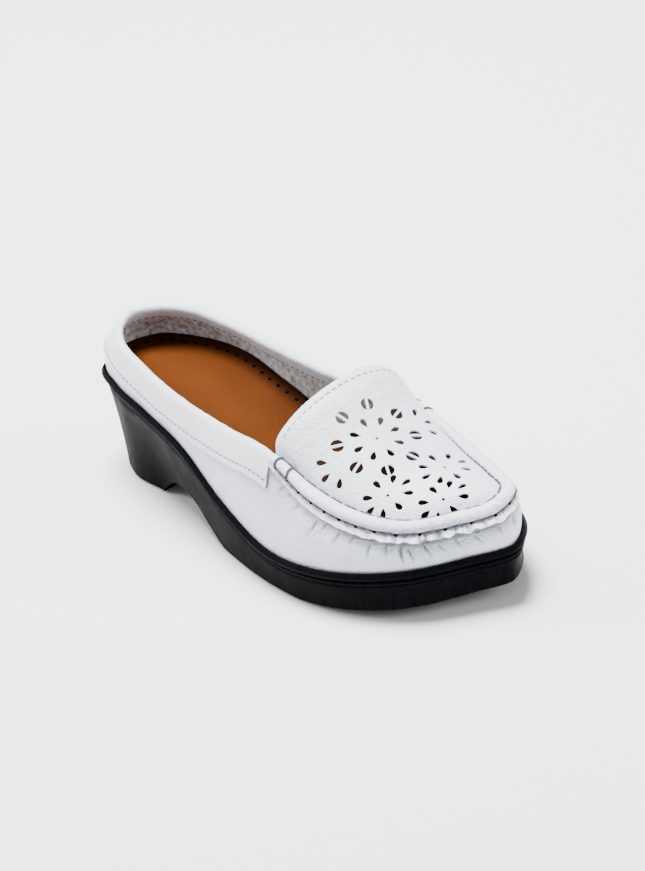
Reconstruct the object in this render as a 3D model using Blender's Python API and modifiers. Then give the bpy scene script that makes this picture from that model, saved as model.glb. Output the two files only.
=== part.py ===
"""Walking shoe for a right foot: a slip-on moccasin with a pierced apron on a low wedge sole.

The shoe points along +X, its inner (medial) side is +Y and +Z is up. Lengths are in metres.
The origin is on the floor, in the middle of the sole's outline. Shapes are lofts around one
closed loop: heel tip, outer side, toe tip, inner side. The sole, upper, collar band, apron
and insole all share the loop's numbering, so what meets along it lines up.
"""

import math
from collections import namedtuple

import bmesh
import bpy
import numpy as np
from mathutils import Matrix, Vector
from mathutils.bvhtree import BVHTree

# Sizes of the sole
LENGTH = 0.259  # heel to toe
BALL_WIDTH = 0.095  # where the sole is widest
HEEL_RISE = 0.0485  # top of the sole above the floor, at the heel
PLATFORM = 0.0194  # thickness under the ball
TOE_SPRING = 0.0080  # lift of the toe
SPRING_START = 0.68  # where the toe starts to lift, as a share of the length
SPRING_POWER = 1.15
TUCK = 0.0050  # how far the wall leans in at the back of the heel and the toe
LIP = 0.0026  # the sole's rim beyond the upper
SEAT = 0.0025  # depth of the shallow seat for the upper and insole
BAND = 0.0074  # height of the moulded lip, grooves and rib
BASE_ROUND = 0.0010  # rounding at the floor
LIP_ROUND = 0.0004  # rounding where the lip turns down into the seat
WALL_FLARE = 2.4  # how late the wall swings out on its way up
ARCH_RISE = 0.0133  # height of the arch above the floor

# Sizes of the tread
GROOVE_WIDTH = 0.0026
GROOVE_DEPTH = 0.0014
GROOVE_PITCH = 0.0110

# Sizes of the upper
LEATHER = 0.0018  # wall of the upper
UPPER_HEIGHT = 0.0400  # upper above the sole, where the collar meets the apron
BULGE = 0.0017  # how far the wall swells between sole and edge
BULGE_ONSET = 1.6  # how softly the swelling sets in
LEAN = 1.7  # how late the wall turns inwards on its way up
APRON_TURN = 0.04  # turn of the apron towards the outer side, as a slope

# Sizes of the collar band
BINDING = 0.0011
BAND_OUTSIDE = 0.0125
BAND_INSIDE = 0.0055

# Sizes of the apron
APRON_LEATHER = 0.0014
FLANGE = 0.0042  # the seam allowance that lies on the vamp
ROLL_WIDTH = 0.0066
ROLL_HEIGHT = 0.0034
ROLL_STEP = 0.0022  # the roll's inner foot above its outer foot
ROLL_INNER_SIDE = 0.85  # the roll on the inner side of the foot, as a share of the outer one
CREST = 0.0225  # rise of the throat above the ends of its edge

# Sizes of the piercing
PATTERN_AT = 0.732  # centre of the ring of split circles, as a share of the length
RING = 0.0177  # radius of that ring
SPLIT_CIRCLE = 0.0060
SPLIT_BAR = 0.0011
PETAL_RADIUS = 0.0097  # from a flower's centre to the middle of a petal
PETAL_LENGTH = 0.0050
PETAL_WIDTH = 0.0027
EYE = 0.0015
PUNCH = 0.0028  # how far the punches reach below the apron's surface
PETAL_POINTS = 8
HALF_DISC_POINTS = 6
EYE_POINTS = 6

# Sizes of the insole
INSOLE = 0.0035
CUP = 0.0022  # how far the insole's edge stands up round the heel
CUP_SLOPE = 0.0070  # width of that raised edge
CUP_END = 0.75  # where it has run out, as a share of the length

GAP = 0.0003  # clearance where two pieces meet

# Fineness of the meshes
STEPS = 4  # points of the loop from one row of a table to the next
PANEL_COLUMNS = 10
INSOLE_STRIDE = 2  # the insole takes every second point of the loop
WALK_STRIDES = 12  # from the ring's centre out to a hole
TOP_PART = 0.5  # share of the wall whose slant side is measured
NUDGE = 0.02  # share of the wall between the two points that give its tangent
SHARP_EDGE = math.radians(40)
WELD = 1e-6

# Colours and roughness of the materials
Finish = namedtuple("Finish", "colour roughness")
RUBBER = Finish((0.012, 0.012, 0.014), 0.45)
WHITE_LEATHER = Finish((0.80, 0.82, 0.85), 0.5)
BINDING_LEATHER = Finish((0.82, 0.84, 0.86), 0.45)
TAN_LEATHER = Finish((0.42, 0.17, 0.06), 0.6)

# The sole from heel to toe. Along is a share of LENGTH, lateral and medial are shares of
# BALL_WIDTH, wedge is a share of the heel's extra height and tuck a share of TUCK.
Section = namedtuple("Section", "along lateral medial wedge tuck")
SOLE_SECTIONS = (
    Section(0.000, 0.010, -0.010, 1.00, 1.00),
    Section(0.023, 0.187, 0.168, 1.00, 0.65),
    Section(0.097, 0.278, 0.279, 1.00, 0.16),
    Section(0.208, 0.341, 0.347, 0.96, 0.90),
    Section(0.338, 0.392, 0.338, 0.76, 0.35),
    Section(0.475, 0.463, 0.374, 0.30, 0.00),
    Section(0.626, 0.516, 0.468, 0.00, 0.00),
    Section(0.714, 0.511, 0.489, 0.00, 0.00),
    Section(0.815, 0.444, 0.463, 0.00, 0.10),
    Section(0.904, 0.289, 0.396, 0.00, 0.20),
    Section(0.963, 0.063, 0.290, 0.00, 0.50),
    Section(1.000, -0.145, 0.145, 0.00, 0.60),
)

# The upper's top edge on the same rows: the topline of the collar, then the seam of the
# apron. Height is a share of UPPER_HEIGHT above the sole, and inner is what the inner side
# adds to it. Bulge is a share of BULGE, roll of the roll's size and crest of CREST. Round is
# the power of the apron's cross-section, and skew how much fuller it is on the inner side.
Edge = namedtuple("Edge", "along lateral medial height inner bulge roll crest round skew")
UPPER_EDGES = (
    Edge(0.040, 0.005, -0.005, 0.52, 0.00, 0.8, 0.0, 0.00, 0.34, 0.30),
    Edge(0.056, 0.099, 0.086, 0.52, 0.00, 0.8, 0.0, 0.00, 0.34, 0.30),
    Edge(0.106, 0.211, 0.193, 0.50, 0.00, 0.6, 0.0, 0.00, 0.34, 0.30),
    Edge(0.208, 0.283, 0.266, 0.44, 0.00, 0.4, 0.0, 0.00, 0.34, 0.30),
    Edge(0.340, 0.333, 0.286, 0.50, 0.00, 0.4, 0.0, 0.00, 0.34, 0.30),
    Edge(0.475, 0.354, 0.312, 0.79, -0.02, 0.5, 0.0, 0.00, 0.34, 0.30),
    Edge(0.626, 0.381, 0.395, 1.00, -0.10, 0.7, 0.6, 1.00, 0.34, 0.30),
    Edge(0.709, 0.379, 0.396, 0.72, 0.02, 1.0, 0.9, 0.66, 0.50, 0.02),
    Edge(0.801, 0.337, 0.366, 0.49, 0.07, 1.0, 1.0, 0.42, 0.68, -0.06),
    Edge(0.884, 0.228, 0.326, 0.36, 0.09, 1.0, 1.0, 0.31, 0.85, 0.00),
    Edge(0.936, 0.028, 0.280, 0.325, 0.07, 1.0, 1.0, 0.20, 1.00, 0.00),
    Edge(0.962, -0.140, 0.140, 0.325, 0.00, 1.0, 1.0, 0.00, 1.00, 0.00),
)
JUNCTION = 6  # the row where collar and apron meet

# The sole's side from its band up over the lip. Out is a share of LIP and down of BAND.
Level = namedtuple("Level", "out down")
BAND_LEVELS = (
    Level(-0.70, 1.00),
    Level(-0.80, 0.93),
    Level(-0.80, 0.85),
    Level(-0.50, 0.77),
    Level(-0.50, 0.67),
    Level(-0.75, 0.60),
    Level(-0.75, 0.51),
    Level(-0.10, 0.42),
    Level(0.00, 0.22),
    Level(-0.45, 0.00),
)
WALL_LEVELS = (0.0, 0.35, 0.70)  # from the floor up to the band
FLANGE_LEVELS = (1.0, 0.5, 0.08)  # from the seam allowance's free edge up to the roll
UPPER_LEVELS = (0.0, 0.24, 0.48, 0.72, 0.90, 1.0)  # from the sole up to the upper's edge

# The arch's outline, from the heel block's front to the ball, starting and ending just below
# the floor. Up is a share of ARCH_RISE.
ArchPoint = namedtuple("ArchPoint", "along up")
ARCH = (
    ArchPoint(0.187, -0.10),
    ArchPoint(0.214, 0.38),
    ArchPoint(0.246, 0.78),
    ArchPoint(0.286, 1.00),
    ArchPoint(0.338, 0.94),
    ArchPoint(0.384, 0.52),
    ArchPoint(0.433, 0.15),
    ArchPoint(0.474, -0.04),
)

# Tread grooves across the sole. Half is a share of BALL_WIDTH.
TreadRun = namedtuple("TreadRun", "first count half")
TREAD_RUNS = (TreadRun(0.075, 3, 0.15), TreadRun(0.480, 5, 0.36))

# The roll's cross-section over its chord.
RollPoint = namedtuple("RollPoint", "across height")
ROLL = (
    RollPoint(-0.03, 0.40),
    RollPoint(0.12, 0.84),
    RollPoint(0.42, 1.00),
    RollPoint(0.75, 0.78),
    RollPoint(0.94, 0.34),
)

# Flowers and fans of the piercing, from the ring's centre: ahead towards the toe and aside
# towards the inner side, as multiples of RING. Petals lists the eighths of a turn it has.
Flower = namedtuple("Flower", "ahead aside petals eye")
EIGHTH = math.tau / 8
WHOLE = tuple(range(8))
FLOWERS = (
    Flower(0.00, 0.00, WHOLE, True),
    Flower(1.51, -0.84, WHOLE, True),
    Flower(1.70, 0.75, WHOLE, True),
    Flower(2.56, 0.03, WHOLE, True),
    Flower(0.08, -1.10, (5, 6, 7), False),
    Flower(0.10, 1.05, (1, 2, 3), False),
)


def clear_scene():
    for thing in list(bpy.data.objects):
        bpy.data.objects.remove(thing, do_unlink=True)


def new_collection(name, hidden=False):
    collection = bpy.data.collections.new(name)
    collection.hide_render = hidden
    bpy.context.scene.collection.children.link(collection)
    return collection


def new_material(name, finish):
    material = bpy.data.materials.new(name)
    material.use_nodes = True
    shader = material.node_tree.nodes["Principled BSDF"]
    shader.inputs["Base Color"].default_value = (*finish.colour, 1.0)
    shader.inputs["Roughness"].default_value = finish.roughness
    shader.inputs["Metallic"].default_value = 0.0
    return material


def new_object(name, mesh, collection, parent, material=None):
    thing = bpy.data.objects.new(name, mesh)
    thing.parent = parent
    collection.objects.link(thing)
    if material:
        mesh.materials.append(material)
    return thing


def unit(vectors):
    return vectors / np.linalg.norm(vectors, axis=-1, keepdims=True)


# Loops

def around(rows, outer, inner):
    """Control points of a closed loop: the rows on the outer side, then back on the inner side."""
    return [outer(row) for row in rows] + [inner(row) for row in rows[-2:0:-1]]


def smooth_loop(controls):
    """STEPS points per control point on the closed curve through them, at its chord lengths."""
    here = np.array(controls, float)
    after = np.roll(here, -1, axis=0)
    length = np.linalg.norm((after - here)[:, :2], axis=1)[:, None]
    slope = (after - here) / length
    length_before = np.roll(length, 1, axis=0)
    slope_before = np.roll(slope, 1, axis=0)
    tangent = (slope_before * length + slope * length_before) / (length + length_before)
    leaving = (tangent * length)[:, None]
    arriving = (np.roll(tangent, -1, axis=0) * length)[:, None]
    t = (np.arange(STEPS) / STEPS)[None, :, None]
    curve = (
        (2 * t**3 - 3 * t**2 + 1) * here[:, None]
        + (t**3 - 2 * t**2 + t) * leaving
        + (3 * t**2 - 2 * t**3) * after[:, None]
        + (t**3 - t**2) * arriving
    )
    return curve.reshape(-1, here.shape[1])


def outward(loop):
    """Unit vectors in plan that point out of the loop."""
    along = np.roll(loop, -1, axis=0)[:, :2] - np.roll(loop, 1, axis=0)[:, :2]
    return unit(np.stack([along[:, 1], -along[:, 0]], axis=1))


def toe_lift(x):
    share = np.clip((np.asarray(x) / LENGTH - SPRING_START) / (1 - SPRING_START), 0, None)
    return TOE_SPRING * share**SPRING_POWER


def sole_control(row, y):
    x = row.along * LENGTH
    rim = PLATFORM + (HEEL_RISE - PLATFORM) * row.wedge + float(toe_lift(x))
    return (x, y, rim, row.tuck * TUCK)


def sole_loop():
    """Columns x, y, height of the rim and lean of the wall, for the sole's outermost edge."""
    return smooth_loop(
        around(
            SOLE_SECTIONS,
            lambda row: sole_control(row, -row.lateral * BALL_WIDTH),
            lambda row: sole_control(row, row.medial * BALL_WIDTH),
        )
    )


def edge_control(row, y, height, roll):
    x = row.along * LENGTH
    if row.roll:
        x += APRON_TURN * y
    shape = (row.bulge * BULGE, roll, row.crest * CREST, row.round, row.skew)
    return (x, y, height * UPPER_HEIGHT, *shape)


def edge_loop():
    """Columns x, y, height above the rim, bulge, roll, crest, round and skew, for the edge."""
    return smooth_loop(
        around(
            UPPER_EDGES,
            lambda row: edge_control(row, -row.lateral * BALL_WIDTH, row.height, row.roll),
            lambda row: edge_control(
                row, row.medial * BALL_WIDTH, row.height + row.inner, row.roll * ROLL_INNER_SIDE
            ),
        )
    )


RIM = sole_loop()
EDGE = edge_loop()
COUNT = len(RIM)
HALF = COUNT // 2
OUT = outward(RIM)
BULGING, ROLLED, DOMED = 3, 4, slice(5, 8)  # columns of EDGE
JOIN_OUTER = JUNCTION * STEPS
JOIN_INNER = COUNT - JOIN_OUTER
COLLAR = [i % COUNT for i in range(JOIN_INNER, COUNT + JOIN_OUTER + 1)]
SEAM = list(range(JOIN_OUTER, JOIN_INNER + 1))


def at_rim(out, down):
    """The rim's loop moved out in plan and down."""
    return np.column_stack([RIM[:, :2] + OUT * out, RIM[:, 2] - down])


# The upper's wall

def wall_point(share):
    """The loop on the upper's outer surface at this share of the way from sole to edge."""
    foot = at_rim(-LIP, SEAT - GAP)
    top = RIM[:, 2] + EDGE[:, 2]
    plan = foot[:, :2] + (EDGE[:, :2] - foot[:, :2]) * np.reshape(share**LEAN, (-1, 1))
    swelling = np.clip(np.sin(np.pi * share), 0, None) ** BULGE_ONSET
    plan = plan + OUT * np.reshape(EDGE[:, BULGING] * swelling, (-1, 1))
    return np.column_stack([plan, foot[:, 2] + (top - foot[:, 2]) * share])


TOP_SIDE = wall_point(np.ones(COUNT)) - wall_point(np.full(COUNT, 1 - TOP_PART))
WALL_SIDE = np.linalg.norm(TOP_SIDE, axis=1) / TOP_PART


def wall_frame(down):
    """Loops of points, normals and upward tangents on the wall, this far down from its edge."""
    share = 1 - np.broadcast_to(down, COUNT) / WALL_SIDE
    point = wall_point(share)
    rising = unit(wall_point(share) - wall_point(share - NUDGE))
    along = np.roll(point, -1, axis=0) - np.roll(point, 1, axis=0)
    return point, unit(np.cross(along, rising)), rising


# Meshes

def loft_faces(rings, count, closed):
    """Quads between rings of this many points. The rings rise as seen from outside."""
    faces = []
    for ring in range(rings - 1):
        low, high = ring * count, (ring + 1) * count
        for i in range(count if closed else count - 1):
            j = (i + 1) % count
            faces.append((low + i, low + j, high + j, high + i))
    return faces


def cap_faces(start, count, up):
    """Strips across one closed ring, from its outer to its inner side."""
    faces = [(start, start + 1, start + count - 1)]
    for i in range(1, count // 2 - 1):
        faces.append((start + i, start + i + 1, start + count - i - 1, start + count - i))
    middle = start + count // 2
    faces.append((middle - 1, middle, middle + 1))
    return faces if up else [face[::-1] for face in faces]


def new_mesh(name, rings, faces):
    mesh = bpy.data.meshes.new(name)
    mesh.from_pydata([tuple(point) for ring in rings for point in ring], [], faces)
    mesh.shade_smooth()
    mesh.set_sharp_from_angle(angle=SHARP_EDGE)
    return mesh


def add_thickness(thing, thickness, outwards):
    solidify = thing.modifiers.new("Thickness", "SOLIDIFY")
    solidify.thickness = thickness
    solidify.offset = 1.0 if outwards else -1.0
    solidify.use_rim = True


def cut(thing, cutter, crossing=False):
    """Crossing is for a cutter whose own bodies may run into each other."""
    boolean = thing.modifiers.new("Cut " + cutter.name, "BOOLEAN")
    boolean.operation = "DIFFERENCE"
    boolean.solver = "EXACT"
    boolean.use_self = crossing
    boolean.object = cutter


# Sole

def sole_rings():
    band_out = BAND_LEVELS[0].out * LIP
    band = at_rim(band_out, BAND)
    base_plan = RIM[:, :2] + OUT * (band_out - RIM[:, 3:4])
    base = np.column_stack([base_plan, toe_lift(base_plan[:, 0])])
    floor_ring = base.copy()
    floor_ring[:, :2] -= OUT * BASE_ROUND
    rings = [floor_ring]
    for share in WALL_LEVELS:
        ring = base + (band - base) * share
        ring[:, :2] = base[:, :2] + (band - base)[:, :2] * share**WALL_FLARE
        ring[:, 2] += BASE_ROUND * (1 - share)
        rings.append(ring)
    rings += [at_rim(level.out * LIP, level.down * BAND) for level in BAND_LEVELS]
    seat_out = GAP - LIP
    rings += [at_rim(seat_out, LIP_ROUND), at_rim(seat_out, SEAT)]
    return rings


def prism(name, outline, half_width, collection, parent):
    """A closed outline in XZ, drawn out across the shoe."""
    count = len(outline)
    points = [(x, side * half_width, z) for side in (-1, 1) for x, z in outline]
    faces = [tuple(range(count)), tuple(range(2 * count - 1, count - 1, -1))]
    faces += [(i, i + count, (i + 1) % count + count, (i + 1) % count) for i in range(count)]
    mesh = bpy.data.meshes.new(name)
    mesh.from_pydata(points, [], faces)
    outward_faces(mesh)
    cutter = new_object(name, mesh, collection, parent)
    cutter.display_type = "WIRE"
    cutter.hide_render = True
    return cutter


def outward_faces(mesh):
    body = bmesh.new()
    body.from_mesh(mesh)
    bmesh.ops.recalc_face_normals(body, faces=body.faces)
    body.to_mesh(mesh)
    body.free()


def arch_outline():
    below = -ARCH_RISE
    outline = [(point.along * LENGTH, point.up * ARCH_RISE) for point in ARCH]
    return [(outline[0][0], below), *outline, (outline[-1][0], below)]


def tread_cutter(collection, parent):
    body = bmesh.new()
    for run in TREAD_RUNS:
        for k in range(run.count):
            x = run.first * LENGTH + k * GROOVE_PITCH
            size = (GROOVE_WIDTH, 2 * run.half * BALL_WIDTH, 2 * GROOVE_DEPTH)
            place = Matrix.Translation((x, 0, 0)) @ Matrix.Diagonal((*size, 1))
            bmesh.ops.create_cube(body, size=1, matrix=place)
    mesh = bpy.data.meshes.new("tread_grooves")
    body.to_mesh(mesh)
    body.free()
    cutter = new_object("tread_grooves", mesh, collection, parent)
    cutter.display_type = "WIRE"
    cutter.hide_render = True
    return cutter


def make_sole(parts, cutters, parent):
    rings = sole_rings()
    faces = loft_faces(len(rings), COUNT, True)
    faces += cap_faces(0, COUNT, False)
    faces += cap_faces((len(rings) - 1) * COUNT, COUNT, True)
    mesh = new_mesh("sole", rings, faces)
    sole = new_object("sole", mesh, parts, parent, new_material("sole_rubber", RUBBER))
    cut(sole, prism("arch", arch_outline(), BALL_WIDTH, cutters, parent))
    cut(sole, tread_cutter(cutters, parent))
    return sole


# Upper and collar band

def make_upper(parts, parent):
    rings = [wall_point(np.full(COUNT, share)) for share in UPPER_LEVELS]
    mesh = new_mesh("upper", rings, loft_faces(len(rings), COUNT, True))
    material = new_material("white_leather", WHITE_LEATHER)
    upper = new_object("upper", mesh, parts, parent, material)
    add_thickness(upper, LEATHER, False)
    return upper


def shortened(line, by):
    """A line of points with both its ends drawn back."""
    line = line.copy()
    line[0] += unit(line[1] - line[0]) * by
    line[-1] += unit(line[-2] - line[-1]) * by
    return line


def make_collar_band(parts, parent):
    rings = []
    for down in (BAND_OUTSIDE, BAND_OUTSIDE / 2, BINDING):
        point, normal, _ = wall_frame(down)
        rings.append(point + normal * GAP)
    point, normal, rising = wall_frame(0.0)
    rings.append(point + normal * GAP + rising * GAP)
    rings.append(point - normal * LEATHER / 2 + rising * (GAP + BINDING / 2))
    rings.append(point - normal * (LEATHER + GAP) + rising * GAP)
    point, normal, _ = wall_frame(BAND_INSIDE)
    rings.append(point - normal * (LEATHER + GAP))
    rings = [shortened(ring[COLLAR], GAP) for ring in rings]
    mesh = new_mesh("collar_band", rings, loft_faces(len(rings), len(rings[0]), False))
    material = new_material("binding_leather", BINDING_LEATHER)
    band = new_object("collar_band", mesh, parts, parent, material)
    add_thickness(band, BINDING, True)
    return band


# Apron

def seam_rings():
    """Flange, roll and the roll's inner foot, along the seam."""
    rings = []
    for share in FLANGE_LEVELS:
        point, normal, _ = wall_frame(FLANGE * share * EDGE[:, ROLLED])
        rings.append((point + normal * (GAP + APRON_LEATHER))[SEAM])
    size = EDGE[SEAM, ROLLED][:, None]
    out = OUT[SEAM]
    foot = rings[-1]
    inner = foot.copy()
    inner[:, :2] -= out * ROLL_WIDTH * size
    inner[:, 2:3] += ROLL_STEP * size
    chord = inner - foot
    lift = unit(np.column_stack([out * ROLL_STEP, np.full(len(SEAM), ROLL_WIDTH)]))
    for at in ROLL:
        rings.append(foot + chord * at.across + lift * at.height * ROLL_HEIGHT * size)
    rings.append(inner)
    return rings


def panel_rows(foot):
    """Rows across the apron between the roll's two inner feet, the throat first."""
    across = np.linspace(-1, 1, PANEL_COLUMNS + 1)[:, None]
    rows = []
    for k in range(len(SEAM) // 2 + 1):
        outer, inner = foot[k], foot[-1 - k]
        crest, power, skew = EDGE[SEAM[k], DOMED]
        row = outer + (inner - outer) * (across + 1) / 2
        profile = np.clip(1 - across[:, 0] ** 2, 0, None) ** power
        row[:, 2] += crest * profile * (1 + skew * across[:, 0])
        rows.append(row)
    return rows


def petal_outline():
    """Pointed towards the flower's centre and round at the other end."""
    turns = [math.tau * k / PETAL_POINTS for k in range(PETAL_POINTS)]
    widths = [math.sin(turn) * math.sin(turn / 2) for turn in turns]
    scale = PETAL_WIDTH / 2 / max(widths)
    return [(-math.cos(turn) * PETAL_LENGTH / 2, width * scale) for turn, width in zip(turns, widths)]


def half_disc_outline(side):
    radius = SPLIT_CIRCLE / 2
    start = math.asin(SPLIT_BAR / SPLIT_CIRCLE)
    turns = np.linspace(start, math.pi - start, HALF_DISC_POINTS)
    return [(math.cos(turn) * radius, side * math.sin(turn) * radius) for turn in turns]


def eye_outline():
    turns = [math.tau * k / EYE_POINTS for k in range(EYE_POINTS)]
    return [(math.cos(turn) * EYE / 2, math.sin(turn) * EYE / 2) for turn in turns]


def pattern():
    """Each hole's outline, its place ahead and aside of the ring's centre, and its turn."""
    holes = []
    for k in range(8):
        turn = EIGHTH * (k + 0.5)
        place = (RING * math.cos(turn), RING * math.sin(turn))
        holes += [(half_disc_outline(side), place, turn) for side in (-1, 1)]
    for flower in FLOWERS:
        centre = (flower.ahead * RING, flower.aside * RING)
        for eighth in flower.petals:
            turn = EIGHTH * eighth
            ahead = centre[0] + PETAL_RADIUS * math.cos(turn)
            aside = centre[1] + PETAL_RADIUS * math.sin(turn)
            holes.append((petal_outline(), (ahead, aside), turn))
        if flower.eye:
            holes.append((eye_outline(), centre, 0.0))
    return holes


def walk_on(surface, place):
    """Point, normal and forward direction on the apron, this far ahead and aside of the centre."""
    above = Vector((PATTERN_AT * LENGTH, 0, LENGTH))
    point, normal, _, _ = surface.ray_cast(above, Vector((0, 0, -1)))
    forward = Vector((1, -APRON_TURN, 0))
    forward = (forward - normal * forward.dot(normal)).normalized()
    turn = math.atan2(place[1], place[0])
    heading = forward * math.cos(turn) + normal.cross(forward) * math.sin(turn)
    for _ in range(WALK_STRIDES):
        ahead = point + heading * math.hypot(*place) / WALK_STRIDES
        point, normal, _, _ = surface.find_nearest(ahead)
        heading = (heading - normal * heading.dot(normal)).normalized()
    return point, normal, heading * math.cos(turn) - normal.cross(heading) * math.sin(turn)


def piercing_cutter(surface, collection, parent):
    body = bmesh.new()
    for outline, place, turn in pattern():
        point, normal, forward = walk_on(surface, place)
        aside = normal.cross(forward)
        first = forward * math.cos(turn) + aside * math.sin(turn)
        second = aside * math.cos(turn) - forward * math.sin(turn)
        rings = []
        for height in (-PUNCH, APRON_LEATHER):
            base = point + normal * height
            rings.append([body.verts.new(base + first * u + second * v) for u, v in outline])
        low, high = rings
        body.faces.new(low)
        body.faces.new(high)
        for i in range(len(outline)):
            j = (i + 1) % len(outline)
            body.faces.new((low[i], low[j], high[j], high[i]))
    bmesh.ops.recalc_face_normals(body, faces=body.faces)
    mesh = bpy.data.meshes.new("piercing")
    body.to_mesh(mesh)
    body.free()
    cutter = new_object("piercing", mesh, collection, parent)
    cutter.display_type = "WIRE"
    cutter.hide_render = True
    return cutter


def make_apron(parts, cutters, parent):
    rings = seam_rings()
    rows = panel_rows(rings[-1])
    strip_faces = loft_faces(len(rings), len(SEAM), False)
    start = len(rings) * len(SEAM)
    width = PANEL_COLUMNS + 1
    panel_faces = []
    for r in range(len(rows) - 1):
        for c in range(PANEL_COLUMNS):
            low = r * width + c
            panel_faces.append((low, low + width, low + width + 1, low + 1))
    surface = BVHTree.FromPolygons([Vector(point) for row in rows for point in row], panel_faces)
    faces = strip_faces + [tuple(start + i for i in face) for face in panel_faces]
    mesh = new_mesh("apron", rings + rows, faces)
    body = bmesh.new()
    body.from_mesh(mesh)
    bmesh.ops.remove_doubles(body, verts=body.verts, dist=WELD)
    body.to_mesh(mesh)
    body.free()
    material = new_material("apron_leather", WHITE_LEATHER)
    apron = new_object("apron", mesh, parts, parent, material)
    add_thickness(apron, APRON_LEATHER, False)
    cut(apron, piercing_cutter(surface, cutters, parent), crossing=True)
    return apron


# Insole

def make_insole(parts, parent):
    inset = LIP + LEATHER + 2 * GAP
    heel_to_ball = np.clip(1 - RIM[:, 0] / LENGTH / CUP_END, 0, 1)
    cup = CUP * np.sqrt(heel_to_ball)
    under = at_rim(-inset, SEAT - GAP)[::INSOLE_STRIDE]
    over = under.copy()
    over[:, 2] += (INSOLE + cup)[::INSOLE_STRIDE]
    count = len(under)
    hollow = over.copy()
    hollow[:, :2] -= OUT[::INSOLE_STRIDE] * CUP_SLOPE
    hollow[:, 2] -= cup[::INSOLE_STRIDE]
    rings = [under, over, hollow]
    faces = loft_faces(len(rings), count, True)
    faces += cap_faces(0, count, False)
    faces += cap_faces((len(rings) - 1) * count, count, True)
    mesh = new_mesh("insole", rings, faces)
    return new_object("insole", mesh, parts, parent, new_material("tan_leather", TAN_LEATHER))


def main():
    clear_scene()
    parts = new_collection("walking_shoe")
    cutters = new_collection("cutters", hidden=True)
    middle = (RIM[:, :2].max(axis=0) + RIM[:, :2].min(axis=0)) / 2
    shoe = bpy.data.objects.new("walking_shoe", None)
    shoe.location = (-middle[0], -middle[1], 0)
    parts.objects.link(shoe)
    make_sole(parts, cutters, shoe)
    make_upper(parts, shoe)
    make_collar_band(parts, shoe)
    make_apron(parts, cutters, shoe)
    make_insole(parts, shoe)


main()
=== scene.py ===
"""Looks of the walking shoe: leather, suede, rubber, thread, a plain floor, light and camera.

Lengths are in metres. Shapes repeat the part's own lofts on a finer loop: X runs from heel to
toe, +Y is the inner side of the foot, Z is up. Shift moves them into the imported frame.
"""

import math
from collections import namedtuple

import bmesh
import bpy
import numpy as np
from mathutils import Matrix, Vector
from mathutils.bvhtree import BVHTree


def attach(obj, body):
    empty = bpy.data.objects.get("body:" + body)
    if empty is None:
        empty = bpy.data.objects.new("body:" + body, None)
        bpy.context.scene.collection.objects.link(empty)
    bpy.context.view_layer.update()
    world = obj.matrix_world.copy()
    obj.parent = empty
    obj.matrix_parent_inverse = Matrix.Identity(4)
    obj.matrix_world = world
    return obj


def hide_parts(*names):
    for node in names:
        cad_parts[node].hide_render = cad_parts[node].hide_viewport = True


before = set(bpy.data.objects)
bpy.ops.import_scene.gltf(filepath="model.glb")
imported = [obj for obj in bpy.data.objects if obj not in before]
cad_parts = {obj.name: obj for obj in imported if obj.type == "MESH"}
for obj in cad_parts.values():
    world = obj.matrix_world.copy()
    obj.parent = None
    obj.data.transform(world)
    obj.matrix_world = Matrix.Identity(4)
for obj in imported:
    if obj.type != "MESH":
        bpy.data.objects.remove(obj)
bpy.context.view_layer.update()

# Sizes of the sole
LENGTH = 0.259
BALL_WIDTH = 0.095
HEEL_RISE = 0.0485
PLATFORM = 0.0194
TOE_SPRING = 0.0080
SPRING_START = 0.68
SPRING_POWER = 1.15
TUCK = 0.0050
LIP = 0.0026
SEAT = 0.0025
BAND = 0.0074
BASE_ROUND = 0.0010
LIP_ROUND = 0.0004
WALL_FLARE = 2.4
ARCH_RISE = 0.0133
GROOVE_WIDTH = 0.0026
GROOVE_DEPTH = 0.0014
GROOVE_PITCH = 0.0110

# Sizes of the upper, collar band and apron
LEATHER = 0.0018
UPPER_HEIGHT = 0.0400
BULGE = 0.0017
BULGE_ONSET = 1.6
LEAN = 1.7
APRON_TURN = 0.04
BINDING = 0.0011
BAND_OUTSIDE = 0.0125
BAND_INSIDE = 0.0055
APRON_LEATHER = 0.0014
APRON_SHEET = 0.0008  # the leather seen at the apron's holes and edges
FLANGE = 0.0042
ROLL_WIDTH = 0.0066
ROLL_HEIGHT = 0.0034
ROLL_STEP = 0.0022
ROLL_INNER_SIDE = 0.85
CREST = 0.0225

# Sizes of the piercing
PATTERN_AT = 0.732
RING = 0.0177
SPLIT_CIRCLE = 0.0060
SPLIT_BAR = 0.0011
PETAL_RADIUS = 0.0097
PETAL_LENGTH = 0.0050
PETAL_WIDTH = 0.0027
EYE = 0.0015
PUNCH = 0.0028

# Sizes of the insole
INSOLE = 0.0035
CUP = 0.0022
CUP_SLOPE = 0.0070
CUP_END = 0.75

# Sizes of the stitching
THREAD = 0.00036  # radius of the seam thread
FINE_THREAD = 0.00022  # radius of the edge stitching
STITCH = 0.0024  # length of an edge stitch
STITCH_PITCH = 0.0034
HOLE = 0.00095  # radius of a needle hole in the seam
STITCH_INSET = 0.0026  # outer stitch row above the binding's raw edge
INNER_INSET = 0.0012  # inner stitch row above the binding's inner edge
ROW_ENDS = 0.004  # where a stitch row stops short of the seam
SEAM_FIRST = 0.0045  # first seam hole from the roll's rear end
SEAM_PITCHES = (0.0078, 0.0116, 0.0066)  # rear outer side, toe and inner side
SEAM_TWIST = 0.0085  # length of one turn of the doubled thread
DOT_PITCH = 0.0062
DOT = 0.0008  # radius of a dot on the insole
DOT_LIFT = 0.0004
DOT_END = 0.66  # where the dots stop, as a share of the length

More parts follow.
